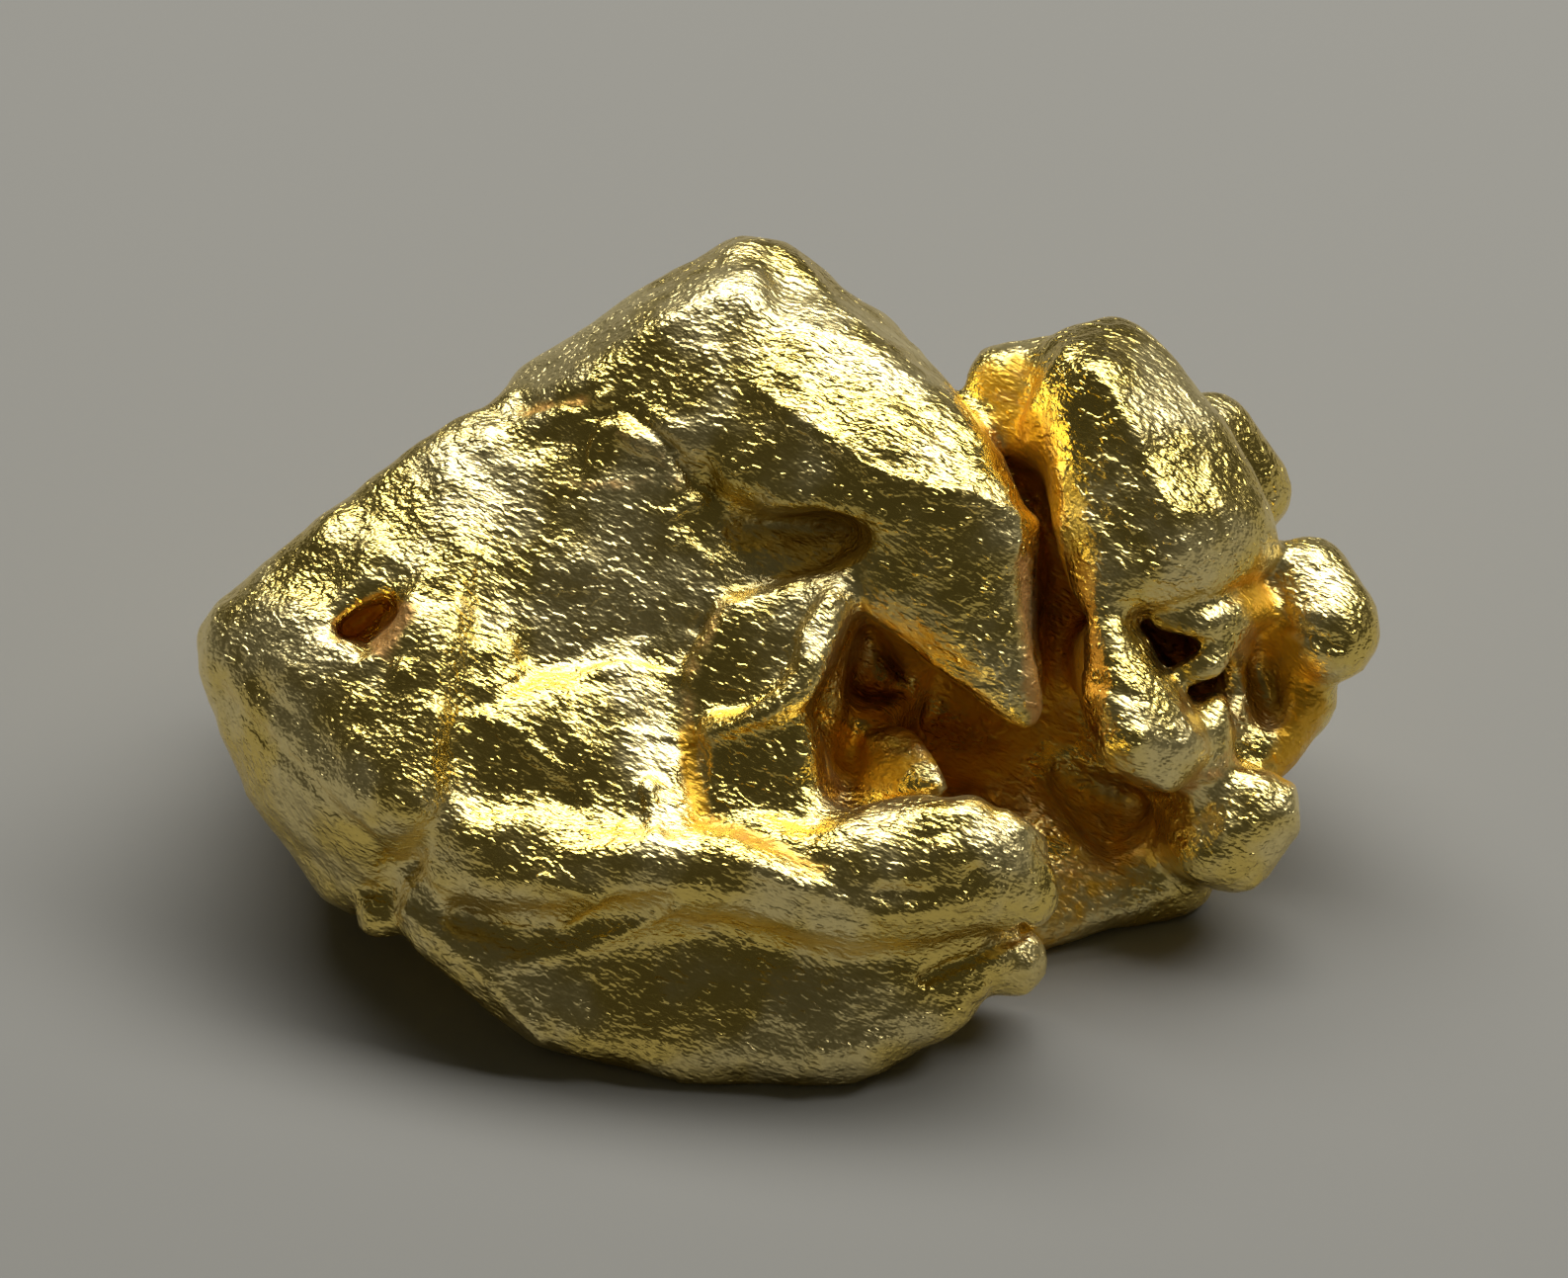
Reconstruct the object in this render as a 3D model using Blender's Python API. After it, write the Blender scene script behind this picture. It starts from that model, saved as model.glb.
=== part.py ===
"""Gold nugget: one piece of native gold, resting on the flat worn on its underside.

The nugget is shaped in its face frame, in millimetres: U runs right along the broad face, V runs up
it and W stands out of it. Lumps and folds are hulls of balls; hollows and creases are cut with the
same kind of hull. The whole is then tipped back to the way it rests, in metres, with +Z up and the
origin at the middle of its footprint.
"""

import math

import bmesh
import bpy
from mathutils import Matrix, Vector

# Driving dimensions
MM = 0.001
LEAN_BACK = math.radians(40.0)  # how far the broad face leans back from upright
SEAT_DEPTH = 2.38  # height of the face frame's origin over the surface it rests on
FOOTPRINT_MIDDLE = (0.037, 0.057)  # X and Y of the footprint's middle, before it is moved to the origin
TRIANGLES = 9900

# How the surface is made
BALL_SUBDIVISIONS = 2
VOXEL = 0.08
SWELL = 0.03  # what smoothing takes off the skin, given back
SMOOTH_FACTOR = 0.5
SMOOTH_PASSES = 3
UNEVEN_SIZE = 0.9  # spacing of the shallow dents all over
UNEVEN_DEPTH = 0.10

# A ball is (u, v, w, radius). A block is one hull round its balls.
BLOCKS = {
    "crown": [
        (-0.40, 3.84, -0.08, 0.42),
        (-0.42, 3.56, 0.70, 0.28),
        (-1.40, 3.20, 0.20, 0.40),
        (-1.36, 3.08, 0.60, 0.32),
        (-0.45, 2.90, 0.88, 0.36),
        (-0.45, 2.30, 1.04, 0.34),
        (-1.30, 2.20, 0.94, 0.30),
        (-2.12, 2.48, 0.55, 0.30),
        (-2.38, 2.66, -0.20, 0.40),
        (-0.30, 3.40, -1.60, 0.60),
        (1.20, 1.80, -2.40, 0.70),
        (-2.00, 2.00, -2.00, 0.60),
    ],
    "brow": [
        (-0.20, 3.80, -0.10, 0.44),
        (0.88, 2.92, -0.30, 0.46),
        (1.62, 2.10, 1.20, 0.38),
        (0.85, 2.78, 0.86, 0.40),
        (0.10, 3.05, 0.80, 0.34),
        (-0.15, 2.55, 1.08, 0.34),
        (0.95, 1.95, 1.45, 0.38),
        (2.04, 1.50, 1.54, 0.34),
        (-0.42, 1.85, 1.22, 0.24),
        (0.50, 1.38, 1.50, 0.26),
        (1.30, 1.30, 1.60, 0.32),
        (0.60, 1.60, 0.20, 0.40),
        (1.90, 1.20, 0.00, 0.50),
        (1.00, 2.40, -1.80, 0.70),
    ],
    "cheek": [
        (2.28, 1.25, 1.58, 0.25),
        (2.36, 0.40, 1.42, 0.18),
        (2.38, -0.55, 1.22, 0.16),
        (0.72, 1.26, 1.50, 0.22),
        (1.02, 0.82, 1.50, 0.20),
        (1.06, 0.48, 1.40, 0.18),
        (1.40, 1.10, 1.60, 0.26),
        (1.70, 0.35, 1.52, 0.24),
        (2.20, 1.00, -1.40, 0.40),
        (1.20, 0.90, -1.40, 0.50),
        (2.30, -0.10, -0.60, 0.30),
    ],
    "snout": [
        (-5.36, 0.06, 0.25, 0.62),
        (-4.60, 0.88, 0.30, 0.50),
        (-3.58, 1.70, 0.20, 0.44),
        (-3.06, 2.16, 0.22, 0.38),
        (-3.28, 1.20, 0.88, 0.30),
        (-3.42, 0.40, 1.30, 0.28),
        (-3.60, -0.70, 1.74, 0.32),
        (-3.80, -1.35, 1.78, 0.40),
        (-4.85, -0.20, 0.95, 0.42),
        (-4.60, -1.00, 1.20, 0.40),
        (-5.02, -1.15, 0.10, 0.52),
        (-4.30, -2.12, 0.30, 0.50),
        (-4.60, 0.10, -1.90, 0.80),
        (-3.20, 1.20, -2.20, 0.60),
    ],
    "shoulder": [
        (-2.72, 2.38, 0.06, 0.36),
        (-2.98, 2.08, 0.28, 0.32),
        (-2.35, 2.34, 0.46, 0.28),
        (-2.60, 2.00, -0.60, 0.40),
    ],
    "snout side": [
        (-3.24, 1.00, 0.96, 0.20),
        (-3.34, 0.35, 1.26, 0.20),
        (-3.40, -0.45, 1.60, 0.24),
        (-2.72, 0.95, 0.74, 0.26),
        (-2.74, 0.10, 0.98, 0.26),
        (-2.80, -0.40, 1.16, 0.30),
        (-3.00, 0.20, -0.60, 0.40),
    ],
    "face": [
        (-3.10, 1.75, 0.45, 0.35),
        (-1.20, 1.90, 0.75, 0.40),
        (-3.20, -0.10, 0.95, 0.35),
        (-0.60, -0.30, 0.85, 0.40),
        (0.80, 0.80, 0.50, 0.40),
        (0.50, -1.20, 0.20, 0.50),
        (-3.40, 0.50, -2.20, 0.80),
        (1.20, 0.50, -2.40, 0.80),
    ],
    "face lump": [
        (-1.86, 2.10, 0.78, 0.24),
        (-1.20, 1.45, 0.95, 0.24),
        (-1.95, 1.10, 0.85, 0.22),
    ],
    "belly": [
        (-3.30, -0.90, 1.50, 0.34),
        (-2.00, -0.38, 1.10, 0.32),
        (-1.20, -0.50, 1.10, 0.34),
        (-3.10, -1.90, 1.70, 0.42),
        (-1.25, -1.70, 1.62, 0.45),
        (-2.90, -1.50, -0.60, 0.50),
        (-1.20, -1.30, -0.60, 0.50),
    ],
    "belly knob": [
        (-1.40, -1.40, 1.86, 0.24),
        (-1.22, -1.78, 1.92, 0.26),
    ],
    "keel": [
        (-3.50, -2.50, 1.20, 0.45),
        (-2.35, -3.50, 1.20, 0.42),
        (-0.90, -3.88, 1.30, 0.42),
        (0.70, -3.84, 1.40, 0.42),
        (1.60, -3.40, 1.40, 0.36),
        (1.60, -2.40, 1.60, 0.40),
        (-3.60, -1.60, -1.00, 0.50),
        (1.60, -1.20, -1.80, 0.50),
        (-0.50, -0.50, -3.00, 0.70),
        (-2.60, 0.40, -3.00, 0.70),
    ],
    "slab": [
        (0.60, 0.74, 1.28, 0.22),
        (-0.42, 0.36, 1.28, 0.22),
        (-0.80, -0.25, 1.32, 0.22),
        (-0.80, -0.66, 1.36, 0.20),
        (-0.05, -0.55, 1.48, 0.20),
        (0.30, 0.00, 1.44, 0.16),
        (0.20, 0.00, -0.20, 0.40),
    ],
    "toe": [
        (0.04, -0.62, 1.72, 0.22),
        (0.00, -1.02, 1.70, 0.32),
        (-0.48, -1.04, 1.62, 0.32),
        (-0.66, -0.82, 1.58, 0.18),
        (0.10, -1.30, 0.60, 0.40),
        (-0.50, -1.20, 0.60, 0.40),
    ],
    "channel floor": [
        (-0.80, -1.56, 1.66, 0.26),
        (0.35, -1.66, 1.72, 0.26),
        (0.15, -1.48, 1.64, 0.26),
        (-0.55, -1.42, 1.60, 0.26),
        (-0.20, -1.80, 0.60, 0.40),
    ],
    "crest lobe": [
        (2.86, 2.92, 0.10, 0.42),
        (3.30, 3.00, -0.10, 0.46),
        (3.98, 2.22, 0.18, 0.50),
        (4.44, 1.42, 0.36, 0.46),
        (4.70, 1.18, 0.14, 0.30),
        (3.12, 2.80, 0.72, 0.25),
        (2.86, 2.60, 0.62, 0.24),
        (3.50, 2.22, 0.90, 0.24),
        (3.78, 1.55, 1.00, 0.25),
        (3.95, 1.08, 1.00, 0.24),
        (2.90, 2.14, 0.72, 0.24),
        (3.02, 1.60, 0.86, 0.23),
        (3.12, 0.66, 1.00, 0.24),
        (4.10, 0.84, 0.80, 0.24),
        (3.20, 2.00, -1.60, 0.60),
        (4.20, 1.00, -1.60, 0.50),
    ],
    "back lobe": [
        (4.30, 2.26, -0.80, 0.45),
        (4.78, 1.66, -0.95, 0.40),
        (4.10, 1.40, -1.80, 0.50),
    ],
    "left flap": [
        (2.22, 2.84, -0.20, 0.38),
        (2.60, 2.90, -0.25, 0.38),
        (2.10, 2.40, -0.05, 0.30),
        (2.66, 2.20, 0.05, 0.26),
        (2.80, 2.20, -0.90, 0.40),
    ],
    "thumb": [
        (3.22, 0.20, 1.02, 0.24),
        (3.26, -0.25, 1.14, 0.26),
        (3.45, -0.85, 1.12, 0.36),
        (3.88, -0.92, 0.98, 0.34),
        (3.70, -1.12, 0.98, 0.34),
        (3.30, 0.00, -0.60, 0.40),
        (3.80, -0.60, -0.60, 0.40),
    ],
    "saddle": [
        (4.60, 0.90, -0.60, 0.38),
        (5.14, -0.45, -0.60, 0.48),
        (4.70, -0.95, -0.50, 0.42),
        (3.60, 0.20, -1.60, 0.60),
    ],
    "knob": [
        (5.30, 0.84, -0.40, 0.42),
        (5.50, 0.28, -0.20, 0.52),
        (4.95, 0.40, -1.00, 0.40),
    ],
    "lower lobe": [
        (4.68, -1.60, 0.25, 0.50),
        (4.30, -1.95, 0.35, 0.38),
        (4.56, -2.02, 0.15, 0.38),
        (4.08, -1.72, 0.20, 0.30),
        (3.70, -1.50, -0.90, 0.40),
    ],
    "link": [
        (4.34, -0.50, 0.52, 0.14),
        (4.30, -0.92, 0.58, 0.17),
        (4.20, -1.30, 0.52, 0.18),
        (4.20, -0.90, -0.40, 0.36),
    ],
    "recess floor": [
        (2.50, -2.60, -0.20, 0.42),
        (3.90, -2.20, -0.60, 0.44),
        (3.20, -1.20, -1.10, 0.50),
        (1.60, -1.50, -0.90, 0.50),
        (2.20, 0.40, -1.60, 0.50),
    ],
    "corner nub": [
        (2.28, -3.05, 1.15, 0.37),
        (1.80, -3.05, 1.48, 0.32),
        (1.20, -2.90, 1.40, 0.30),
    ],
    "left nub": [
        (-4.08, -2.60, 0.90, 0.25),
        (-3.80, -2.30, 0.80, 0.25),
    ],
    "core": [
        (2.60, 1.90, -1.60, 0.80),
        (2.60, -0.60, -1.30, 0.70),
        (0.00, 1.20, -1.80, 0.80),
        (4.00, 0.60, -1.60, 0.60),
    ],
    "back swell": [
        (-1.90, 0.90, -3.00, 0.90),
        (0.40, 1.60, -3.10, 0.70),
        (-0.60, 0.00, -3.20, 0.80),
    ],
    "back ledge": [
        (1.60, 0.60, -2.60, 0.60),
        (3.10, 0.20, -2.00, 0.60),
        (2.20, -0.60, -2.00, 0.60),
    ],
    "left back": [
        (-4.40, -0.60, -1.70, 0.70),
        (-3.60, -1.20, -1.50, 0.60),
        (-3.60, 0.80, -2.60, 0.60),
    ],
}

# A roll is a chain of hulls, each round two neighbouring balls.
ROLLS = {
    "lip": [
        (-3.20, -2.05, 1.55, 0.44),
        (-2.50, -2.15, 1.80, 0.42),
        (-1.70, -2.05, 1.92, 0.44),
        (-0.95, -2.15, 2.04, 0.42),
        (-0.40, -2.15, 2.04, 0.50),
        (0.35, -2.30, 2.00, 0.58),
        (0.95, -2.18, 1.86, 0.78),
        (1.60, -2.06, 1.94, 0.72),
        (1.95, -2.06, 1.94, 0.66),
        (2.30, -2.30, 1.85, 0.44),
    ],
    "keel fold": [
        (-1.00, -2.48, 1.86, 0.24),
        (-1.93, -2.84, 1.52, 0.22),
        (-2.84, -3.04, 1.02, 0.20),
    ],
    "finger ridge": [
        (0.58, 0.80, 1.36, 0.14),
        (0.38, 0.28, 1.74, 0.15),
        (0.14, -0.30, 1.96, 0.17),
        (-0.30, -0.60, 1.96, 0.17),
        (-0.80, -0.74, 1.68, 0.14),
    ],
}

# Hollows are cut out of what stands above.
HOLLOWS = {
    "eye": [
        (-4.52, 0.24, 1.80, 0.20),
        (-3.98, 0.68, 1.80, 0.18),
        (-4.44, 0.26, 0.62, 0.10),
        (-4.05, 0.54, 0.62, 0.08),
    ],
    "eye dish": [
        (-4.26, 0.06, 2.00, 0.16),
        (-3.84, 0.52, 2.00, 0.16),
        (-4.18, 0.12, 1.04, 0.10),
        (-3.92, 0.44, 1.04, 0.10),
    ],
    "great cavity": [
        (0.80, 0.48, 2.30, 0.04),
        (2.44, -0.76, 2.30, 0.05),
        (2.62, -1.55, 2.30, 0.10),
        (0.24, -1.20, 2.30, 0.06),
        (0.46, -0.30, 2.30, 0.05),
        (0.88, 0.20, 0.70, 0.04),
        (2.10, -0.80, 0.60, 0.10),
        (2.10, -1.15, 0.60, 0.10),
        (0.55, -1.05, 0.60, 0.10),
    ],
    "cavity depth": [
        (0.80, 0.52, 1.50, 0.04),
        (0.52, -0.10, 1.30, 0.05),
        (0.56, -0.50, 1.20, 0.05),
        (1.26, -0.58, 1.20, 0.05),
        (1.48, -0.28, 1.20, 0.05),
        (0.99, 0.22, 1.40, 0.04),
        (0.84, 0.30, -0.30, 0.06),
        (0.72, -0.30, -0.30, 0.08),
        (1.20, -0.34, -0.30, 0.08),
    ],
    "left pocket": [
        (0.35, -1.00, 1.60, 0.14),
        (0.95, -0.95, 1.30, 0.16),
        (0.80, -0.95, 0.20, 0.14),
    ],
    "right pocket": [
        (1.55, -0.70, 1.20, 0.14),
        (2.10, -0.95, 1.20, 0.18),
        (1.80, -0.90, 0.00, 0.14),
    ],
    "cleft": [
        (2.06, 2.28, 1.40, 0.05),
        (2.56, 1.50, 1.90, 0.05),
        (3.66, 1.50, 1.90, 0.05),
        (2.58, -0.80, 1.90, 0.05),
        (3.62, -0.80, 1.90, 0.05),
        (2.68, 1.45, 0.82, 0.05),
        (2.68, -0.90, 0.80, 0.05),
        (2.40, 2.04, 0.80, 0.05),
    ],
    "crack": [
        (2.50, 1.64, 1.90, 0.05),
        (2.70, 1.64, 1.90, 0.05),
        (2.52, -0.80, 1.90, 0.05),
        (2.72, -0.80, 1.90, 0.05),
        (2.60, 1.50, -0.05, 0.07),
        (2.62, -0.95, -0.05, 0.07),
    ],
    "under crown": [
        (-0.62, 1.46, 1.60, 0.05),
        (0.55, 1.42, 1.60, 0.05),
        (0.86, 1.30, 1.80, 0.05),
        (0.84, 1.06, 1.80, 0.05),
        (0.46, 0.84, 1.65, 0.05),
        (-0.20, 0.62, 1.56, 0.05),
        (-0.80, 0.84, 1.34, 0.05),
        (-0.50, 1.42, 0.98, 0.06),
        (0.64, 1.30, 0.84, 0.06),
        (0.15, 1.36, 0.86, 0.06),
    ],
    "recess": [
        (2.66, -0.98, 1.90, 0.12),
        (3.82, -1.50, 1.60, 0.12),
        (3.90, -2.25, 1.60, 0.12),
        (3.30, -2.62, 1.60, 0.25),
        (2.72, -2.20, 1.90, 0.12),
        (2.84, -1.20, -0.50, 0.20),
        (3.55, -1.48, -0.60, 0.20),
        (3.25, -1.80, -0.35, 0.20),
    ],
    "saddle hollow": [
        (4.78, 0.36, 1.00, 0.14),
        (5.22, -0.10, 1.00, 0.14),
        (5.18, -0.80, 0.90, 0.14),
        (4.66, -0.80, 1.00, 0.14),
        (4.80, 0.00, -0.30, 0.20),
        (4.90, -0.55, -0.30, 0.20),
    ],
    "thumb groove": [
        (3.62, 0.10, 1.70, 0.12),
        (3.98, 0.12, 1.60, 0.12),
        (4.12, -0.38, 1.50, 0.12),
        (3.80, 0.02, 0.20, 0.12),
        (4.02, -0.22, 0.10, 0.10),
    ],
    "under crest": [
        (3.42, 0.44, 1.80, 0.06),
        (4.60, 0.62, 1.40, 0.10),
        (3.50, 0.42, 0.60, 0.06),
        (4.50, 0.58, 0.30, 0.08),
    ],
    "keel hollow": [
        (-1.10, -3.02, 2.18, 0.34),
        (0.30, -3.14, 2.22, 0.34),
    ],
    "left keel hollow": [
        (-3.25, -2.62, 1.74, 0.26),
        (-2.72, -2.74, 1.84, 0.22),
    ],
    "flap hollow": [
        (2.16, 2.74, 0.80, 0.26),
        (2.30, 2.20, 0.90, 0.20),
        (2.20, 2.62, 0.30, 0.16),
    ],
    "back pit": [
        (-0.60, 2.60, -3.60, 0.30),
        (0.00, 2.30, -3.80, 0.35),
        (-0.30, 2.30, -2.60, 0.20),
    ],
    "back furrow": [
        (0.90, 0.80, -4.60, 0.30),
        (1.50, 0.00, -4.20, 0.30),
        (1.10, 0.60, -3.10, 0.16),
        (1.40, 0.00, -2.90, 0.16),
    ],
    "rear bay": [
        (-3.00, 0.90, -4.20, 0.40),
        (-2.60, -0.10, -4.20, 0.40),
        (-2.90, 0.60, -3.00, 0.25),
    ],
}

# An inner form stands up inside a hollow, so it is added once the hollow is cut.
INNER_BLOCKS = {
    "inner mound": [
        (1.24, -0.86, 0.92, 0.07),
        (1.48, -1.30, 1.32, 0.08),
        (0.90, -0.78, 0.50, 0.12),
        (0.95, -1.40, 0.96, 0.14),
        (0.90, -1.00, -0.20, 0.20),
        (1.38, -1.40, 0.20, 0.18),
    ],
}

INNER_ROLLS = {
    "bridge": [
        (3.80, 0.40, 0.62, 0.13),
        (4.18, 0.34, 0.74, 0.15),
        (4.52, 0.44, 0.50, 0.14),
        (4.75, 0.50, 0.00, 0.20),
    ],
    "low bridge": [
        (4.00, -0.16, 0.55, 0.12),
        (4.30, -0.08, 0.62, 0.15),
        (4.46, 0.20, 0.50, 0.14),
        (4.50, 0.10, -0.30, 0.20),
    ],
    "flap ridge": [
        (2.80, 3.00, 0.36, 0.12),
        (2.60, 2.55, 0.50, 0.12),
        (2.50, 2.15, 0.42, 0.12),
    ],
}

# A crease is a chain of small hulls cut into the skin.
CREASES = {
    "valley": [
        (-2.60, -0.30, 1.62, 0.14),
        (-2.10, -0.10, 1.42, 0.16),
        (-1.40, 0.24, 1.36, 0.16),
        (-0.80, 0.52, 1.36, 0.12),
    ],
    "hook": [
        (-0.98, -0.62, 1.62, 0.08),
        (-0.95, -1.05, 1.82, 0.15),
        (-0.82, -1.45, 2.04, 0.15),
        (-0.20, -1.78, 2.26, 0.12),
        (0.38, -2.04, 2.62, 0.10),
    ],
    "belly bowl": [
        (-2.80, -1.30, 2.35, 0.34),
        (-2.20, -1.25, 2.25, 0.34),
    ],
}

GOLD = {"colour": (0.83, 0.62, 0.24, 1.0), "metallic": 1.0, "roughness": 0.33}


def clear_scene() -> None:
    """Removes every object of the startup scene."""
    for obj in list(bpy.data.objects):
        bpy.data.objects.remove(obj, do_unlink=True)


def ball_directions() -> list[Vector]:
    """Directions spread evenly over a ball."""
    ball = bmesh.new()
    bmesh.ops.create_icosphere(ball, subdivisions=BALL_SUBDIVISIONS, radius=1.0)
    directions = [vert.co.copy() for vert in ball.verts]
    ball.free()
    return directions


def add_hull(form: bmesh.types.BMesh, balls, directions) -> None:
    """Adds the convex hull of a few balls to form."""
    points = bmesh.new()
    for u, v, w, radius in balls:
        for direction in directions:
            points.verts.new(Vector((u, v, w)) + radius * direction)
    hull = bmesh.ops.convex_hull(points, input=points.verts[:])
    inside = [item for item in hull["geom_interior"] if isinstance(item, bmesh.types.BMVert)]
    bmesh.ops.delete(points, geom=inside, context="VERTS")
    bmesh.ops.recalc_face_normals(points, faces=points.faces[:])
    scratch = bpy.data.meshes.new("scratch")
    points.to_mesh(scratch)
    points.free()
    form.from_mesh(scratch)
    bpy.data.meshes.remove(scratch)


def hulls_object(name: str, blocks, chains) -> bpy.types.Object:
    """One object holding a hull for each block and one for each link of each chain."""
    form = bmesh.new()
    directions = ball_directions()
    for balls in blocks.values():
        add_hull(form, balls, directions)
    for balls in chains.values():
        for link in zip(balls, balls[1:]):
            add_hull(form, link, directions)
    mesh = bpy.data.meshes.new(name)
    form.to_mesh(mesh)
    form.free()
    obj = bpy.data.objects.new(name, mesh)
    bpy.context.scene.collection.objects.link(obj)
    return obj


def remesh(obj: bpy.types.Object) -> None:
    """Joins overlapping hulls into one even skin."""
    modifier = obj.modifiers.new("skin", "REMESH")
    modifier.mode = "VOXEL"
    modifier.voxel_size = VOXEL


def apply_modifiers(obj: bpy.types.Object) -> None:
    """Replaces the mesh by what its modifiers make of it."""
    graph = bpy.context.evaluated_depsgraph_get()
    made = bpy.data.meshes.new_from_object(obj.evaluated_get(graph))
    obj.modifiers.clear()
    obj.data = made


def helper(name: str, blocks, chains) -> bpy.types.Object:
    """A form that only cuts or joins, and isn't part of the nugget itself."""
    obj = hulls_object(name, blocks, chains)
    remesh(obj)
    apply_modifiers(obj)
    obj.hide_render = True
    obj.display_type = "WIRE"
    return obj


def carve(obj: bpy.types.Object, cutter: bpy.types.Object, inner: bpy.types.Object) -> None:
    """Cuts the hollows out, joins what stands inside them, and evens the skin over their rims."""
    for operation, other in (("DIFFERENCE", cutter), ("UNION", inner)):
        step = obj.modifiers.new(other.name, "BOOLEAN")
        step.operation = operation
        step.solver = "EXACT"
        step.object = other
    remesh(obj)
    smooth = obj.modifiers.new("worn", "SMOOTH")
    smooth.factor = SMOOTH_FACTOR
    smooth.iterations = SMOOTH_PASSES


def dent(obj: bpy.types.Object) -> None:
    """Makes the skin shallowly uneven, as knocks in a stream bed do."""
    swell = obj.modifiers.new("swell", "DISPLACE")
    swell.mid_level = 0.0
    swell.strength = SWELL
    texture = bpy.data.textures.new("uneven", "CLOUDS")
    texture.noise_scale = UNEVEN_SIZE
    texture.noise_depth = 2
    modifier = obj.modifiers.new("uneven", "DISPLACE")
    modifier.texture = texture
    modifier.texture_coords = "LOCAL"
    modifier.strength = UNEVEN_DEPTH


def thin(obj: bpy.types.Object) -> None:
    """Brings the mesh down to its triangle budget."""
    obj.data.calc_loop_triangles()
    modifier = obj.modifiers.new("facets", "DECIMATE")
    modifier.ratio = TRIANGLES / len(obj.data.loop_triangles)


def rest_matrix() -> Matrix:
    """Face frame in millimetres to world frame in metres, at rest."""
    tip = Matrix.Rotation(math.pi / 2 - LEAN_BACK, 4, "X")
    lift = Matrix.Translation((-FOOTPRINT_MIDDLE[0], -FOOTPRINT_MIDDLE[1], SEAT_DEPTH))
    return Matrix.Scale(MM, 4) @ lift @ tip


def wear_seat(obj: bpy.types.Object) -> None:
    """Cuts the underside flat where the nugget rests."""
    form = bmesh.new()
    form.from_mesh(obj.data)
    cut = bmesh.ops.bisect_plane(
        form,
        geom=form.verts[:] + form.edges[:] + form.faces[:],
        plane_co=(0, 0, 0),
        plane_no=(0, 0, 1),
        clear_inner=True,
    )
    rim = [item for item in cut["geom_cut"] if isinstance(item, bmesh.types.BMEdge)]
    seat = bmesh.ops.holes_fill(form, edges=rim, sides=0)
    bmesh.ops.triangulate(form, faces=seat["faces"])
    form.to_mesh(obj.data)
    form.free()


def gold_material() -> bpy.types.Material:
    """Native gold, satin from wear."""
    material = bpy.data.materials.new("native gold")
    material.use_nodes = True
    shader = material.node_tree.nodes["Principled BSDF"]
    shader.inputs["Base Color"].default_value = GOLD["colour"]
    shader.inputs["Metallic"].default_value = GOLD["metallic"]
    shader.inputs["Roughness"].default_value = GOLD["roughness"]
    return material


def main() -> None:
    """Builds the nugget."""
    clear_scene()
    hollows = helper("hollows", HOLLOWS, CREASES)
    inner = helper("inner forms", INNER_BLOCKS, INNER_ROLLS)
    nugget = hulls_object("nugget", BLOCKS, ROLLS)
    remesh(nugget)
    apply_modifiers(nugget)
    carve(nugget, hollows, inner)
    dent(nugget)
    apply_modifiers(nugget)
    thin(nugget)
    apply_modifiers(nugget)
    nugget.data.transform(rest_matrix())
    wear_seat(nugget)
    nugget.data.shade_smooth()
    nugget.data.materials.clear()
    nugget.data.materials.append(gold_material())


if __name__ == "__main__":
    main()
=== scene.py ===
"""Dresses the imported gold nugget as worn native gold, on a plain pale floor under soft light."""

import logging
import math
from dataclasses import dataclass, field
from enum import Enum

import bmesh
import bpy
import numpy as np
from mathutils import Matrix, Vector
from mathutils.bvhtree import BVHTree


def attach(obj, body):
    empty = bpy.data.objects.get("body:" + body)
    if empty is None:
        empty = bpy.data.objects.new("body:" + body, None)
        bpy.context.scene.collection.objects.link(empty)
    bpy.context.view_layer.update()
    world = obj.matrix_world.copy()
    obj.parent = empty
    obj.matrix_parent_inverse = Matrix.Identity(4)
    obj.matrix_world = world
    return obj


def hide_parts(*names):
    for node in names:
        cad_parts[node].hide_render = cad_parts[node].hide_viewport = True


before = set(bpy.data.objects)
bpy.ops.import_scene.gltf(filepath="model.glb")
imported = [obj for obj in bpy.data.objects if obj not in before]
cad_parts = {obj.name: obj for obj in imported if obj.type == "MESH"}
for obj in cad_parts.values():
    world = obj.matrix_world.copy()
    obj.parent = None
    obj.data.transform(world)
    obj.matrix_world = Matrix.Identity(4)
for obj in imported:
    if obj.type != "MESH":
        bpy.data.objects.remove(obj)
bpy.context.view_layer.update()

MM = 0.001
log = logging.getLogger("nugget")


def linear(hex_colour: str) -> tuple[float, float, float, float]:
    """Turns an sRGB hex colour into linear RGBA.

    Args:
        hex_colour: Six hex digits, such as "e8c060".

    Returns:
        Linear red, green and blue, with alpha 1.
    """
    channels = [int(hex_colour[i : i + 2], 16) / 255 for i in (0, 2, 4)]
    made = [c / 12.92 if c <= 0.04045 else ((c + 0.055) / 1.055) ** 2.4 for c in channels]
    return (made[0], made[1], made[2], 1.0)


def add_node(
    tree: bpy.types.NodeTree,
    kind: str,
    settings: dict[str, object] | None = None,
    inputs: dict[str | int, object] | None = None,
) -> bpy.types.Node:
    """Adds a shader node, sets it up and links what comes into it.

    Args:
        tree: The node tree it goes in.
        kind: Blender's name of the node type.
        settings: Values of the node's own properties.
        inputs: Socket name or index to a value, or to the output socket that feeds it.

    Returns:
        The new node.
    """
    node = tree.nodes.new(kind)
    for name, value in (settings or {}).items():
        setattr(node, name, value)
    for name, value in (inputs or {}).items():
        if isinstance(value, bpy.types.NodeSocket):
            tree.links.new(value, node.inputs[name])
        else:
            node.inputs[name].default_value = value
    return node


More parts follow.
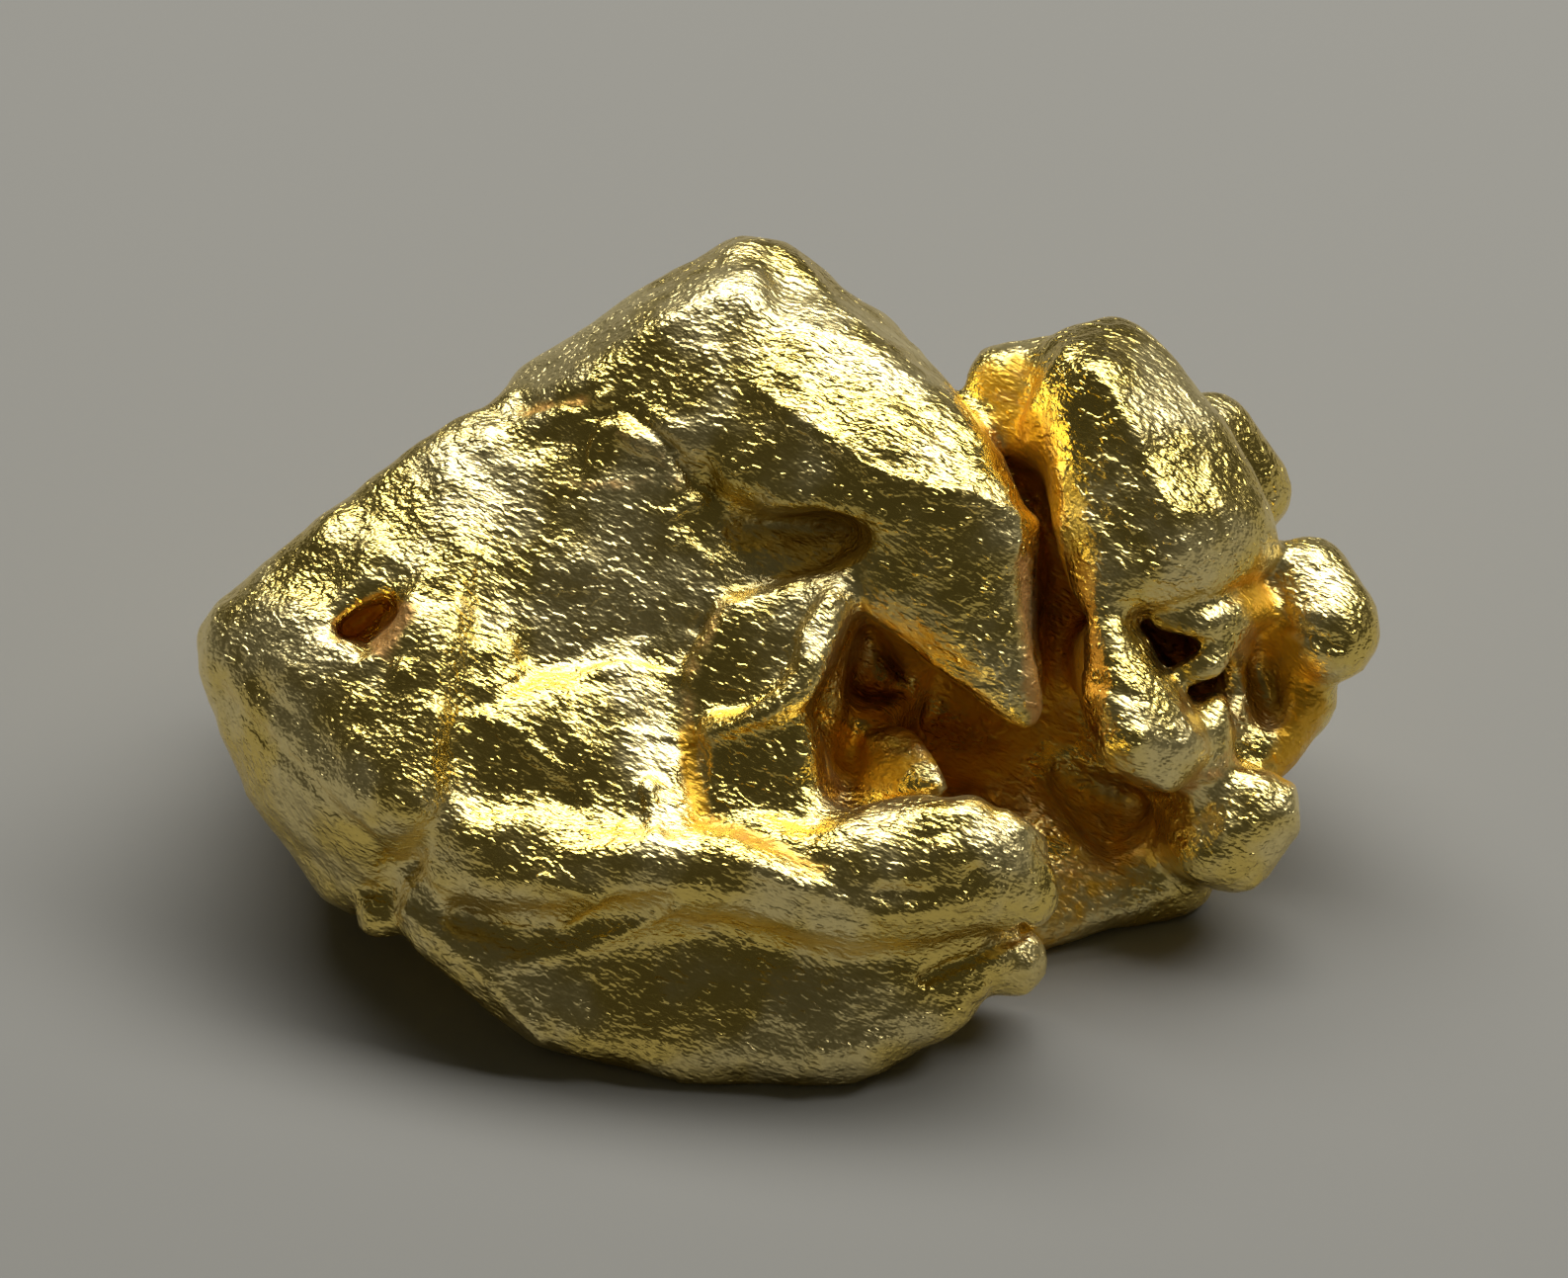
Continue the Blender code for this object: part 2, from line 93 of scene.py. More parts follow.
@dataclass(frozen=True)
class FaceFrame:
    """The nugget's face frame in millimetres: U runs right along the broad face, V up it, W out."""

    lean_back: float = math.radians(40.0)
    height: float = 2.38
    footprint_middle: tuple[float, float] = (0.037, 0.057)

    def to_world(self) -> Matrix:
        """Stands the face frame on the ground, leaned back.

        Returns:
            The matrix from the face frame, in millimetres, to the world, in metres.
        """
        tip = Matrix.Rotation(math.pi / 2 - self.lean_back, 4, "X")
        middle_x, middle_y = self.footprint_middle
        lift = Matrix.Translation((-middle_x, -middle_y, self.height))
        return Matrix.Scale(MM, 4) @ lift @ tip

    def outward(self) -> Vector:
        """Returns the direction in which the broad face looks."""
        return (self.to_world().to_3x3() @ Vector((0, 0, 1))).normalized()


FACE = FaceFrame()


class Press(Enum):
    """Which way a stroke moves the skin."""

    RAISE = 1.0
    SINK = -1.0
    STAY = 0.0  # only tints it, with iron film or painted orange bounce light


@dataclass(frozen=True)
class Stroke:
    """A ridge raised or a crease sunk along a line over the skin, in the face frame and millimetres."""

    name: str
    press: Press
    line: tuple[tuple[float, float], ...]
    radius: float
    amount: float = 0.0
    near: float = -1.0  # lowest and highest W of the skin that it reaches
    far: float = 4.0
    stain: float = 0.0  # how much of the iron film lies along it
    painted_bounce_share: float = 0.0  # how much painted orange bounce light lies along it

    def weights(self, points: np.ndarray) -> np.ndarray:
        """Says how much of the stroke each point takes.

        Args:
            points: Points in the face frame, in rows of (u, v, w).

        Returns:
            For each point, 0 outside the stroke to 1 on its line.
        """
        nearest = np.full(len(points), np.inf)
        ends = self.line if len(self.line) > 1 else self.line * 2
        for start, end in zip(ends, ends[1:]):
            a, b = np.array(start), np.array(end)
            along = b - a
            length = max(float(along @ along), 1e-9)
            share = np.clip(((points[:, :2] - a) @ along) / length, 0, 1)
            gap = points[:, :2] - (a + share[:, None] * along)
            nearest = np.minimum(nearest, np.hypot(gap[:, 0], gap[:, 1]))
        falloff = np.clip(1 - nearest / self.radius, 0, 1)
        reached = (points[:, 2] > self.near) & (points[:, 2] < self.far)
        return falloff * falloff * (3 - 2 * falloff) * reached


# Some strokes paint orange bounce light into the creases and walls they cover, as if light went from
# wall to wall.
FOLDS = (
    # snout
    Stroke(
        "snout crest",
        Press.RAISE,
        (
            (-2.76, 2.09), (-3.07, 1.61), (-3.25, 0.92), (-3.33, 0.44), (-3.57, -0.03), (-3.49, -0.64),
            (-3.54, -1.47),
        ),
        radius=0.20, amount=0.015,
    ),
    Stroke(
        "snout foot",
        Press.RAISE,
        ((-2.88, 1.35), (-2.86, 0.80), (-2.80, 0.30), (-2.90, -0.30)),
        radius=0.32, amount=0.04,
    ),
    Stroke("snout top lump", Press.RAISE, ((-2.99, 2.22),), radius=0.26, amount=0.06),
    Stroke("snout upper swell", Press.RAISE, ((-3.40, 1.79),), radius=0.32, amount=0.05),
    Stroke("hollow over the eye", Press.SINK, ((-4.10, 0.86), (-3.84, 0.79)), radius=0.20, amount=0.04),
    Stroke("eye floor", Press.STAY, ((-4.30, 0.30), (-3.95, 0.62)), radius=0.45, far=0.9, painted_bounce_share=1.0),
    Stroke("eye film", Press.STAY, ((-4.04, 0.10), (-3.82, 0.44)), radius=0.24, stain=1.0),
    Stroke(
        "eye lip",
        Press.RAISE,
        ((-4.21, -0.07), (-3.75, 0.24), (-3.75, 0.59)),
        radius=0.10, amount=0.045,
    ),
    Stroke("snout left swell", Press.RAISE, ((-5.06, 0.45),), radius=0.42, amount=0.05),
    Stroke("snout bead", Press.RAISE, ((-4.61, -0.34),), radius=0.18, amount=0.04),
    Stroke("swell under the eye", Press.RAISE, ((-3.86, -0.15),), radius=0.18, amount=0.05),
    Stroke("snout pit", Press.SINK, ((-4.29, -0.63),), radius=0.16, amount=0.06),
    Stroke("snout lower lump", Press.RAISE, ((-3.78, -1.50),), radius=0.26, amount=0.06),
    Stroke(
        "long furrow",
        Press.SINK,
        ((-5.71, -0.35), (-4.66, -1.35), (-3.96, -2.05)),
        radius=0.13, amount=0.05,
    ),
    Stroke("short furrow", Press.SINK, ((-5.34, -0.25), (-4.51, -1.00)), radius=0.09, amount=0.03),
    Stroke(
        "edge rib",
        Press.RAISE,
        ((-3.83, -2.55), (-3.36, -2.82), (-3.14, -3.08), (-2.44, -3.79)),
        radius=0.10, amount=0.05,
    ),
    Stroke("nub hollow", Press.SINK, ((-4.21, -2.35),), radius=0.13, amount=0.07),
    # broad face
    Stroke(
        "crown crease",
        Press.SINK,
        ((-1.92, 2.45), (-1.62, 2.51), (-1.37, 2.30), (-1.16, 2.09), (-0.95, 1.76), (-0.74, 1.59)),
        radius=0.11, amount=0.08,
    ),
    Stroke(
        "face arc",
        Press.RAISE,
        ((-1.66, 2.24), (-1.33, 2.07), (-1.16, 1.91), (-1.10, 1.70)),
        radius=0.14, amount=0.035, stain=0.45,
    ),
    Stroke(
        "face rib",
        Press.RAISE,
        ((-1.83, 2.28), (-1.94, 2.09), (-1.96, 1.84)),
        radius=0.09, amount=0.06,
    ),
    Stroke(
        "face band",
        Press.RAISE,
        ((-2.31, 1.74), (-1.75, 1.72), (-1.37, 1.78)),
        radius=0.15, amount=0.02, stain=0.5,
    ),
    Stroke("face ridge", Press.RAISE, ((-1.20, 1.42), (-0.82, 1.59)), radius=0.09, amount=0.06),
    Stroke("face edge", Press.RAISE, ((-1.20, 1.28), (-0.78, 0.96)), radius=0.08, amount=0.05),
    Stroke(
        "valley",
        Press.SINK,
        ((-2.84, -0.40), (-2.36, -0.10), (-1.86, 0.17), (-1.36, 0.25), (-0.89, 0.33)),
        radius=0.15, amount=0.03,
    ),
    Stroke("valley rib", Press.RAISE, ((-1.24, 0.29), (-1.35, 0.08)), radius=0.07, amount=0.05),
    Stroke("slab groove", Press.SINK, ((-0.84, 0.37), (-1.03, 0.04)), radius=0.09, amount=0.06),
    Stroke(
        "orange ledge",
        Press.SINK,
        ((-2.66, 2.53), (-2.01, 2.59)),
        radius=0.16, amount=0.06, stain=0.5, painted_bounce_share=0.6,
    ),
    Stroke("ledge bead", Press.RAISE, ((-1.98, 2.60), (-1.80, 2.61)), radius=0.10, amount=0.05),
    # belly
    Stroke("belly shoulder", Press.RAISE, ((-2.70, -0.52), (-1.60, -0.16)), radius=0.60, amount=0.10),
    Stroke("belly foot", Press.SINK, ((-2.90, -1.30), (-1.40, -1.40)), radius=0.60, amount=0.12),
    Stroke(
        "belly crown",
        Press.RAISE,
        ((-2.02, -0.26), (-1.68, -0.15), (-1.16, -0.19)),
        radius=0.13, amount=0.045,
    ),
    Stroke(
        "belly edge",
        Press.RAISE,
        ((-3.07, -0.59), (-2.67, -0.80), (-2.38, -1.04), (-2.00, -1.33)),
        radius=0.10, amount=0.06,
    ),
    Stroke("belly seam", Press.RAISE, ((-1.68, -0.74), (-1.08, -0.80)), radius=0.06, amount=0.03),
    Stroke("belly bowl", Press.SINK, ((-2.96, -1.30), (-2.26, -1.35)), radius=0.36, amount=0.06),
    Stroke("bowl lump", Press.RAISE, ((-2.56, -1.35),), radius=0.12, amount=0.05),
    # brow and cheek
    Stroke(
        "brow ridge",
        Press.RAISE,
        ((-0.26, 2.65), (1.04, 1.75), (1.87, 1.61), (2.45, 1.35)),
        radius=0.15, amount=0.05,
    ),
    Stroke("brow dip", Press.SINK, ((1.09, 2.70), (1.54, 2.25)), radius=0.20, amount=0.04),
    Stroke(
        "cheek edge",
        Press.RAISE,
        ((0.81, 0.58), (0.99, 0.18), (1.28, 0.05), (1.86, -0.25), (2.39, -0.64)),
        radius=0.09, amount=0.04, near=0.8,
    ),
    Stroke(
        "cheek rim",
        Press.RAISE,
        ((2.38, 0.95), (2.40, 0.25), (2.49, -0.60)),
        radius=0.20, amount=0.02, near=0.8, stain=0.75,
    ),
    # slab, finger and toe
    Stroke(
        "finger ridge",
        Press.RAISE,
        ((0.61, 0.83), (0.42, 0.53), (0.22, 0.24), (0.16, -0.23), (-0.19, -0.58), (-0.77, -0.78)),
        radius=0.10, amount=0.05,
    ),
    Stroke(
        "slab edge",
        Press.RAISE,
        ((-0.63, 0.52), (-0.84, 0.06), (-0.94, -0.17), (-1.03, -0.73)),
        radius=0.20, amount=0.03, stain=0.5,
    ),
    Stroke(
        "hook",
        Press.SINK,
        ((-0.99, -0.73), (-0.95, -1.15), (-0.85, -1.47)),
        radius=0.17, amount=0.05, painted_bounce_share=1.0,
    ),
    Stroke(
        "toe rim",
        Press.RAISE,
        ((-0.72, -0.89), (-0.73, -1.20), (-0.59, -1.41)),
        radius=0.08, amount=0.035,
    ),
    Stroke(
        "channel",
        Press.SINK,
        ((-0.83, -1.57), (-0.26, -1.81), (0.34, -2.09)),
        radius=0.17, amount=0.05, stain=0.4, painted_bounce_share=0.6,
    ),
    # cavity
    Stroke(
        "cavity right wall",
        Press.STAY,
        ((1.00, 0.35), (1.50, -0.15), (2.40, -0.80)),
        radius=0.40, far=1.3, painted_bounce_share=1.0,
    ),
    Stroke(
        "cavity floor",
        Press.STAY,
        ((0.60, -1.05), (1.20, -1.20), (2.20, -1.10)),
        radius=0.42, far=1.25, painted_bounce_share=0.9,
    ),
    Stroke(
        "mound ridge",
        Press.RAISE,
        ((1.28, -0.87), (1.44, -1.10), (1.55, -1.30)),
        radius=0.07, amount=0.05, near=0.2,
    ),
    # lip
    Stroke("lip first lump", Press.RAISE, ((-1.37, -1.26), (-1.31, -1.76)), radius=0.16, amount=0.07),
    Stroke("lip left lump", Press.RAISE, ((-2.44, -2.22), (-1.83, -2.39)), radius=0.14, amount=0.05),
    Stroke(
        "lip band",
        Press.RAISE,
        ((-0.45, -2.05), (0.20, -2.30), (0.96, -2.56)),
        radius=0.15, amount=0.05,
    ),
    Stroke("lip high lump", Press.RAISE, ((1.87, -1.46),), radius=0.28, amount=0.07),
    Stroke("lip middle lump", Press.RAISE, ((1.56, -1.91),), radius=0.17, amount=0.07),
    Stroke("lip end", Press.RAISE, ((2.17, -1.58), (2.62, -1.86)), radius=0.10, amount=0.05),
    Stroke("lip dip", Press.SINK, ((1.90, -2.12),), radius=0.14, amount=0.08),
    Stroke("lip hollow", Press.SINK, ((0.94, -2.35), (1.39, -2.37)), radius=0.13, amount=0.08),
    Stroke("lip low lump", Press.RAISE, ((1.76, -2.43),), radius=0.13, amount=0.06),
    Stroke("lip bead", Press.RAISE, ((0.70, -2.43),), radius=0.12, amount=0.05),
    # keel
    Stroke(
        "keel fold",
        Press.RAISE,
        ((-1.12, -2.52), (-1.93, -2.88), (-2.84, -3.08)),
        radius=0.12, amount=0.06,
    ),
    Stroke(
        "keel rib",
        Press.RAISE,
        ((-1.88, -2.42), (-2.21, -2.65), (-2.44, -2.93)),
        radius=0.10, amount=0.04,
    ),
    Stroke(
        "keel furrow",
        Press.SINK,
        ((-1.20, -2.42), (-1.76, -2.46), (-2.26, -2.78)),
        radius=0.14, amount=0.05,
    ),
    Stroke("keel left hollow", Press.SINK, ((-3.30, -2.60), (-2.70, -2.85)), radius=0.22, amount=0.07),
    Stroke("under lip", Press.SINK, ((-1.10, -2.95), (0.30, -3.10)), radius=0.50, amount=0.07),
    Stroke(
        "nub crease",
        Press.SINK,
        ((1.36, -3.23), (1.89, -3.00), (2.38, -2.73)),
        radius=0.10, amount=0.11,
    ),
    Stroke("nub lump", Press.RAISE, ((2.44, -3.10),), radius=0.16, amount=0.05),
    Stroke("nub bead", Press.RAISE, ((1.94, -3.35),), radius=0.13, amount=0.05),
    Stroke("keel rib low", Press.RAISE, ((0.24, -3.93), (0.94, -3.83)), radius=0.10, amount=0.04),
    # right side
    Stroke(
        "cleft wall",
        Press.STAY,
        ((2.15, 2.75), (2.45, 2.10), (2.75, 1.50), (2.80, 0.40), (2.78, -0.70)),
        radius=0.42, far=0.9, stain=0.35, painted_bounce_share=1.0,
    ),
    Stroke("flap front", Press.STAY, ((2.12, 2.60), (2.35, 2.95)), radius=0.34, stain=0.3, painted_bounce_share=0.7),
    Stroke(
        "recess floor",
        Press.STAY,
        ((2.90, -1.40), (3.40, -2.00), (2.50, -2.80)),
        radius=0.70, far=0.8, painted_bounce_share=0.6,
    ),
    Stroke(
        "saddle",
        Press.STAY,
        ((4.55, 1.00), (4.75, 0.60), (5.05, 0.05), (5.30, -0.45), (5.05, -1.10)),
        radius=0.44, far=0.6, painted_bounce_share=0.9,
    ),
    Stroke("link film", Press.STAY, ((3.95, -1.40), (4.50, -1.00)), radius=0.25, stain=0.5, painted_bounce_share=0.3),
    Stroke(
        "crest ridge",
        Press.RAISE,
        ((3.10, 2.84), (3.50, 2.24), (3.78, 1.57), (3.95, 1.05)),
        radius=0.18, amount=0.035,
    ),
    Stroke(
        "crest rim",
        Press.RAISE,
        ((2.81, 3.07), (2.56, 2.65), (2.44, 2.35)),
        radius=0.10, amount=0.05,
    ),
    Stroke("crest dip", Press.SINK, ((3.14, 1.45), (3.54, 1.05)), radius=0.16, amount=0.04),
    Stroke("crest bead", Press.RAISE, ((3.24, 1.95),), radius=0.12, amount=0.04),
    Stroke("knob crease", Press.SINK, ((5.04, 0.33), (5.58, 0.10)), radius=0.10, amount=0.07),
    Stroke("thumb bulge", Press.RAISE, ((3.54, -0.85),), radius=0.28, amount=0.05),
    Stroke("thumb waist", Press.SINK, ((3.12, -0.25), (3.51, -0.43)), radius=0.11, amount=0.05),
    Stroke(
        "lobe rim",
        Press.RAISE,
        ((5.07, -1.35), (5.14, -1.85), (4.94, -2.25)),
        radius=0.13, amount=0.05,
    ),
    Stroke("lobe lump", Press.RAISE, ((4.44, -1.75),), radius=0.18, amount=0.05),
    Stroke("lobe dip", Press.SINK, ((4.19, -1.53),), radius=0.10, amount=0.06),
    Stroke("link bead", Press.RAISE, ((4.26, -1.20),), radius=0.10, amount=0.05),
)


EASED = {"interpolation_type": "SMOOTHSTEP"}
SOFT_NOISE = 0.55  # roughness of the even patterns
RAGGED_NOISE = 0.6  # and of the one that breaks up the edges of the iron film and the painted bounce light


@dataclass(frozen=True)
class Overlay:
    """A layer over the clean metal, a real film or painted light, as thick as the mesh attribute of its
    name says.
    """

    name: str
    colour: str
    roughness: float
    metallic: float


@dataclass(frozen=True)
class Marks:
    """One size of mark all over the skin, drawn out along the flow of the metal."""

    size_mm: float
    depth_mm: float
    stretch: float
    detail: float
    peaks_only: bool = False  # flat between its highest points


@dataclass(frozen=True)
class NativeGold:
    """Native gold, hammered and rolled in a stream bed, then cleaned.

    Its skin is a satin of grains and tiny knocks, each a small mirror, so that it glitters where it
    isn't turned to the light. Rubbed swellings are paler and smoother. The creases carry painted shade,
    and painted deep orange bounce light where light would go from wall to wall, with a little iron
    stain.
    """

    skin: str = "f3d776"
    rubbed: str = "f9e5a2"  # pale, from silver in the gold
    painted_shade: str = "b98d3a"  # painted shade, darker and duller where it is shut in
    painted_bounce: Overlay = Overlay("painted_bounce_share", "f2bb32", 0.45, 0.60)  # painted orange bounce light in the creases, matt so that it takes the light
    iron_film: Overlay = Overlay("stain", "dfae68", 0.55, 0.75)  # sandy
    knock_mm: float = 0.42
    knock_depth_mm: float = 0.030
    ripples: Marks = Marks(0.20, 0.028, 1.4, 2.0)
    flecks: Marks = Marks(0.085, 0.010, 1.8, 1.0, peaks_only=True)
    grain: Marks = Marks(0.048, 0.016, 1.8, 1.5)  # the real ones are down to 0.02 mm
    knock_softness: float = 0.4
    blotch_mm: float = 0.17
    patch_mm: float = 1.1
    patch_detail: float = 3.0
    flow_tilt: float = math.radians(-26.0)  # the metal was drawn out down to the right across the face
    roughness: tuple[float, float] = (0.22, 0.36)
    satin_span: tuple[float, float] = (0.35, 0.65)  # where in the patches it goes from smooth to rough
    rubbed_span: tuple[float, float] = (0.42, 0.62)  # where in the patches the rubbing comes in
    painted_shade_span: tuple[float, float] = (0.55, 1.0)  # how shut in the skin is where the painted shade comes in
    overlay_span: tuple[float, float] = (0.75, 1.3)  # the layer's share and blotch together, where the layer comes in
    peak_span: tuple[float, float] = (0.52, 0.70)  # heights that count as peaks

    def material(self) -> bpy.types.Material:
        """Makes the node material.

        Returns:
            The finished material.
        """
        made = bpy.data.materials.new("native_gold")
        made.use_nodes = True
        tree = made.node_tree
        shader = tree.nodes["Principled BSDF"]
        place = add_node(tree, "ShaderNodeTexCoord").outputs["Object"]
        finish = self.lay_overlays(tree, place, self.bare_metal(tree, place))
        finish["Normal"] = self.marked_skin(tree, place)
        for name, socket in finish.items():
            tree.links.new(socket, shader.inputs[name])
        return made

    def bare_metal(
        self, tree: bpy.types.NodeTree, place: bpy.types.NodeSocket
    ) -> dict[str, bpy.types.NodeSocket | float]:
        """Works out the clean gold: paler where it is rubbed, with painted shade where it is shut in.

        Args:
            tree: The node tree.
            place: The Object coordinates.

        Returns:
            What feeds the shader's colour, roughness and metallic, by the names of its sockets.
        """
        patches = add_node(
            tree,
            "ShaderNodeTexNoise",
            inputs={
                "Vector": place,
                "Scale": 1.0 / (self.patch_mm * MM),
                "Detail": self.patch_detail,
                "Roughness": SOFT_NOISE,
            },
        ).outputs[0]
        low, high = self.rubbed_span
        rubbing = add_node(
            tree, "ShaderNodeMapRange", EASED, {"Value": patches, "From Min": low, "From Max": high}
        ).outputs[0]
        hollow = add_node(tree, "ShaderNodeAttribute", {"attribute_name": "hollow"}).outputs["Fac"]
        low, high = self.painted_shade_span
        painted_shade_share = add_node(
            tree, "ShaderNodeMapRange", EASED, {"Value": hollow, "From Min": low, "From Max": high}
        ).outputs[0]
        low, high = self.satin_span
        smoothest, roughest = self.roughness
        satin = add_node(
            tree,
            "ShaderNodeMapRange",
            EASED,
            {
                "Value": patches,
                "From Min": low,
                "From Max": high,
                "To Min": smoothest,
                "To Max": roughest,
            },
        ).outputs[0]
        open_gold = add_node(
            tree,
            "ShaderNodeMix",
            {"data_type": "RGBA"},
            {"Factor": rubbing, 6: linear(self.skin), 7: linear(self.rubbed)},
        ).outputs[2]
        # Painted shade: the colour darkens where the skin is shut in.
        colour = add_node(
            tree,
            "ShaderNodeMix",
            {"data_type": "RGBA"},
            {"Factor": painted_shade_share, 6: open_gold, 7: linear(self.painted_shade)},
        ).outputs[2]
        return {"Base Color": colour, "Roughness": satin, "Metallic": 1.0}

    def lay_overlays(
        self,
        tree: bpy.types.NodeTree,
        place: bpy.types.NodeSocket,
        under: dict[str, bpy.types.NodeSocket | float],
    ) -> dict[str, bpy.types.NodeSocket]:
        """Lays the painted orange bounce light and the iron film over the clean gold, their edges
        broken up by blotches.

        Args:
            tree: The node tree.
            place: The Object coordinates.
            under: What feeds the colour, roughness and metallic of the clean gold.

        Returns:
            The same with the painted bounce light and the iron film over it.
        """
        blotches = add_node(
            tree,
            "ShaderNodeTexNoise",
            inputs={
                "Vector": place,
                "Scale": 1.0 / (self.blotch_mm * MM),
                "Detail": self.patch_detail,
                "Roughness": RAGGED_NOISE,
            },
        ).outputs[0]
        low, high = self.overlay_span
        # The first layer is painted orange bounce light, the second a real iron film.
        for overlay in (self.painted_bounce, self.iron_film):
            laid = add_node(tree, "ShaderNodeAttribute", {"attribute_name": overlay.name}).outputs["Fac"]
            broken = add_node(
                tree, "ShaderNodeMath", {"operation": "ADD"}, {0: laid, 1: blotches}
            ).outputs[0]
            share = add_node(
                tree, "ShaderNodeMapRange", EASED, {"Value": broken, "From Min": low, "From Max": high}
            ).outputs[0]
            colour = add_node(
                tree,
                "ShaderNodeMix",
                {"data_type": "RGBA"},
                {"Factor": share, 6: under["Base Color"], 7: linear(overlay.colour)},
            ).outputs[2]
            over = {"Base Color": colour}
            for name, value in (("Roughness", overlay.roughness), ("Metallic", overlay.metallic)):
                over[name] = add_node(
                    tree,
                    "ShaderNodeMix",
                    {"data_type": "FLOAT"},
                    {"Factor": share, 2: under[name], 3: value},
                ).outputs[0]
            under = over
        return under

    def marked_skin(
        self, tree: bpy.types.NodeTree, place: bpy.types.NodeSocket
    ) -> bpy.types.NodeSocket:
        """Presses the knocks, ripples, flecks and grain into the skin, widest first.

        Args:
            tree: The node tree.
            place: The Object coordinates.

        Returns:
            The socket of the marked normal.
        """
        knocks = add_node(
            tree,
            "ShaderNodeTexVoronoi",
            {"feature": "SMOOTH_F1"},
            {
                "Vector": self.flow(tree, place, self.ripples.stretch),
                "Scale": 1.0 / (self.knock_mm * MM),
                "Smoothness": self.knock_softness,
            },
        ).outputs["Distance"]
        normal = add_node(
            tree,
            "ShaderNodeBump",
            inputs={"Height": knocks, "Strength": 1.0, "Distance": self.knock_depth_mm * MM},
        ).outputs[0]
        low, high = self.peak_span
        for marks in (self.ripples, self.flecks, self.grain):
            height = add_node(
                tree,
                "ShaderNodeTexNoise",
                inputs={
                    "Vector": self.flow(tree, place, marks.stretch),
                    "Scale": 1.0 / (marks.size_mm * MM),
                    "Detail": marks.detail,
                    "Roughness": SOFT_NOISE,
                },
            ).outputs[0]
            if marks.peaks_only:
                height = add_node(
                    tree,
                    "ShaderNodeMapRange",
                    EASED,
                    {"Value": height, "From Min": low, "From Max": high},
                ).outputs[0]
            normal = add_node(
                tree,
                "ShaderNodeBump",
                inputs={
                    "Height": height,
                    "Strength": 1.0,
                    "Distance": marks.depth_mm * MM,
                    "Normal": normal,
                },
            ).outputs[0]
        return normal

    def flow(
        self, tree: bpy.types.NodeTree, place: bpy.types.NodeSocket, stretch: float
    ) -> bpy.types.NodeSocket:
        """Turns the pattern space so that X runs along the flow of the metal, and stretches it.

        Args:
            tree: The node tree.
            place: The Object coordinates.
            stretch: How much longer than wide the marks become.

        Returns:
            The socket of the turned coordinates.
        """
        lean = Matrix.Rotation(math.pi / 2 - FACE.lean_back, 4, "X")
        turn = (lean @ Matrix.Rotation(self.flow_tilt, 4, "Z")).to_euler()
        return add_node(
            tree,
            "ShaderNodeMapping",
            {"vector_type": "TEXTURE"},
            {"Vector": place, "Rotation": tuple(turn), "Scale": (stretch, 1.0, 1.0)},
        ).outputs[0]


@dataclass(frozen=True)
class Dents:
    """One size of dent, in the face frame's millimetres."""

    size: float
    depth: float


